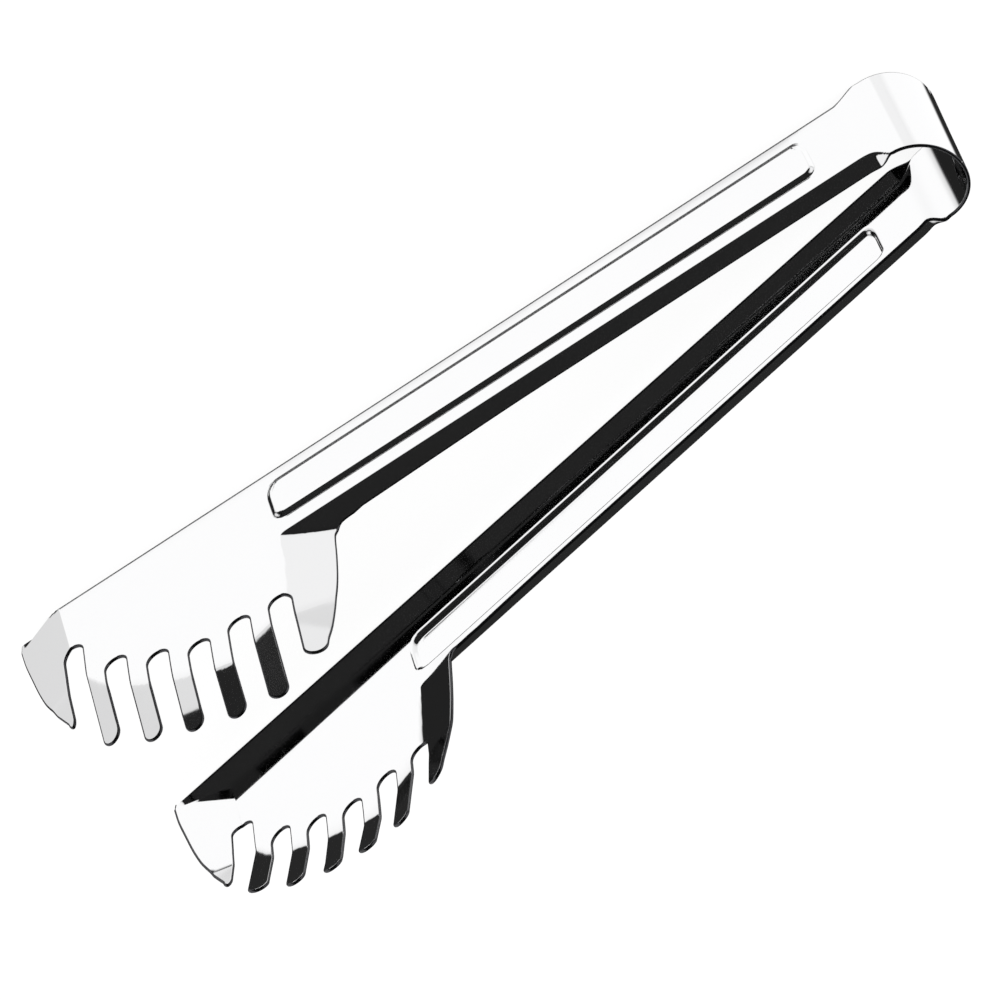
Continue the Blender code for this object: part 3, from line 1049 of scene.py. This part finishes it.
def round_cut_edges(piece):
    """Thins the sheet near its cut edges, so that both of its faces curve round to the rim."""
    vertices = piece.data.vertices
    half = sheet_thickness / 2
    count = len(cut_edge_distance)
    for index, distance in enumerate(cut_edge_distance):
        if distance >= edge_round:
            continue
        arc = math.sqrt(max(edge_round ** 2 - (edge_round - distance) ** 2, 0.0))
        left = half - edge_round + arc
        middle = (vertices[index].co + vertices[index + count].co) / 2
        for corner in (vertices[index], vertices[index + count]):
            corner.co = middle + (corner.co - middle) * (left / half)
    # Faces near the outline get the second finish, whose near-black colour is a painted dark reflection.
    for face in piece.data.polygons:
        if all(painted_outline_widths[index % count] < 1 for index in face.vertices):
            face.material_index = 1
    piece.data.update()
    bpy.ops.object.shade_smooth_by_angle(angle=smooth_angle)


print("the cut edges are rounded over", edge_round * 1000, "mm")

# %% [markdown]
# ## Polished steel
#
# The sheet is mirror polished, so its base colour is the pale grey of stainless steel, fully
# metallic, with a very low roughness. A real polish is never perfect: the buffing wheel leaves
# hairlines along the strip, hands leave faint smears, and the surface is a little wavy. These are
# shared by both finishes, so they are a node group that is built once. The cut edges were only
# tumbled, so they are rougher than the faces. Their near-black colour is a painted dark reflection,
# and it draws the thin dark line round the teeth.

# %% A node group for the marks of polishing and use
hairline_stretch = (0.02, 1.0, 1.0)
hairline_share = 0.35
smear_share = 0.65
hairline_height = 0.02


def build_polish_marks():
    """Hairlines and smears as a mask for the roughness, and waves with hairlines as a height."""
    group = bpy.data.node_groups.new("polish_marks", "ShaderNodeTree")
    for name in ("Hairline Scale", "Smear Scale"):
        group.interface.new_socket(name, in_out="INPUT", socket_type="NodeSocketFloat")
    for name in ("Roughness Mask", "Height"):
        group.interface.new_socket(name, in_out="OUTPUT", socket_type="NodeSocketFloat")
    entry = add_node(group, "NodeGroupInput", (-1000, 0))
    place = add_node(group, "ShaderNodeTexCoord", (-1000, 300))
    stretch = add_node(group, "ShaderNodeMapping", (-800, 300), None, {"Scale": hairline_stretch})
    hairlines = add_node(group, "ShaderNodeTexNoise", (-550, 300), None, {"Detail": 3, "Roughness": 0.6})
    smears = add_node(
        group, "ShaderNodeTexNoise", (-550, 0), None, {"Detail": 4, "Roughness": 0.55, "Distortion": 0.6},
    )
    waves = add_node(group, "ShaderNodeTexNoise", (-550, -300), None, {"Scale": 60, "Detail": 1})
    fine = add_node(group, "ShaderNodeMath", (-300, 300), {"operation": "MULTIPLY"}, {1: hairline_share})
    broad = add_node(group, "ShaderNodeMath", (-300, 0), {"operation": "MULTIPLY"}, {1: smear_share})
    mask = add_node(group, "ShaderNodeMath", (-50, 200), {"operation": "ADD"})
    height = add_node(
        group, "ShaderNodeMath", (-50, -200), {"operation": "MULTIPLY_ADD"}, {1: hairline_height},
    )
    leave = add_node(group, "NodeGroupOutput", (200, 0))
    link = group.links.new
    link(place.outputs["Object"], stretch.inputs["Vector"])
    link(stretch.outputs["Vector"], hairlines.inputs["Vector"])
    link(place.outputs["Object"], smears.inputs["Vector"])
    link(place.outputs["Object"], waves.inputs["Vector"])
    link(entry.outputs["Hairline Scale"], hairlines.inputs["Scale"])
    link(entry.outputs["Smear Scale"], smears.inputs["Scale"])
    link(hairlines.outputs[0], fine.inputs[0])
    link(smears.outputs[0], broad.inputs[0])
    link(fine.outputs[0], mask.inputs[0])
    link(broad.outputs[0], mask.inputs[1])
    link(hairlines.outputs[0], height.inputs[0])
    link(waves.outputs[0], height.inputs[2])
    link(mask.outputs[0], leave.inputs["Roughness Mask"])
    link(height.outputs[0], leave.inputs["Height"])
    return group


polish_marks = build_polish_marks()
print("node group", polish_marks.name, "has", len(polish_marks.nodes), "nodes")


# %% The two finishes of the sheet
hairline_scale = 2600
smear_scale = 38


def build_steel(name, colour, smoothest, roughest, wave_height):
    """Polished or cut steel: its colour, and how smooth and how rough it gets."""
    material = bpy.data.materials.new(name)
    material.use_nodes = True
    tree = material.node_tree
    shader = tree.nodes["Principled BSDF"]
    shader.inputs["Metallic"].default_value = 1
    shader.inputs["Base Color"].default_value = (*colour, 1)
    marks = add_node(tree, "ShaderNodeGroup", (-800, 0), {"node_tree": polish_marks})
    marks.inputs["Hairline Scale"].default_value = hairline_scale
    marks.inputs["Smear Scale"].default_value = smear_scale
    rough = add_node(
        tree, "ShaderNodeMapRange", (-500, 0), None, {1: 0.3, 2: 0.7, 3: smoothest, 4: roughest},
    )
    bump = add_node(tree, "ShaderNodeBump", (-300, -250), None, {"Strength": 1, "Distance": wave_height})
    link = tree.links.new
    link(marks.outputs["Roughness Mask"], rough.inputs["Value"])
    link(rough.outputs["Result"], shader.inputs["Roughness"])
    link(marks.outputs["Height"], bump.inputs["Height"])
    link(bump.outputs["Normal"], shader.inputs["Normal"])
    return material


face_steel = build_steel("polished_steel", (0.87, 0.87, 0.875), 0.035, 0.075, 0.0000015)
# The cut edges are rougher, and their near-black colour is a painted dark reflection that draws the
# outline.
edge_steel_with_painted_outline = build_steel("cut_edge_steel_with_painted_outline", (0.07, 0.07, 0.075), 0.2, 0.32, 0.00001)
print("materials:", face_steel.name, "and", edge_steel_with_painted_outline.name)

# %% [markdown]
# ## The two finished halves
#
# Each half stands for its arm, and half of the bow goes with it. When the tongs close, the real bow
# bends all along its curve.

# %% Make both halves and hide the parts that they stand for
left_blank = blank.copy()
left_blank.data = blank.data.copy()
left_blank.name = left_blank.data.name = "left_half"
bpy.context.scene.collection.objects.link(left_blank)
for piece, side, body, nodes, slot in (
    (blank, -1, "right", ("right_arm",), "right_arm_steel"),
    (left_blank, 1, "left", ("left_arm", "spring_bow"), "left_arm_steel"),
):
    press_half(piece, side)
    piece.data.materials.append(face_steel)
    piece.data.materials.append(edge_steel_with_painted_outline)
    thicken(piece)
    round_cut_edges(piece)
    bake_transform(piece)
    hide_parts(*nodes)
    triangles = sum(len(face.vertices) - 2 for face in piece.data.polygons)
    print(piece.name, "has", triangles, "triangles")
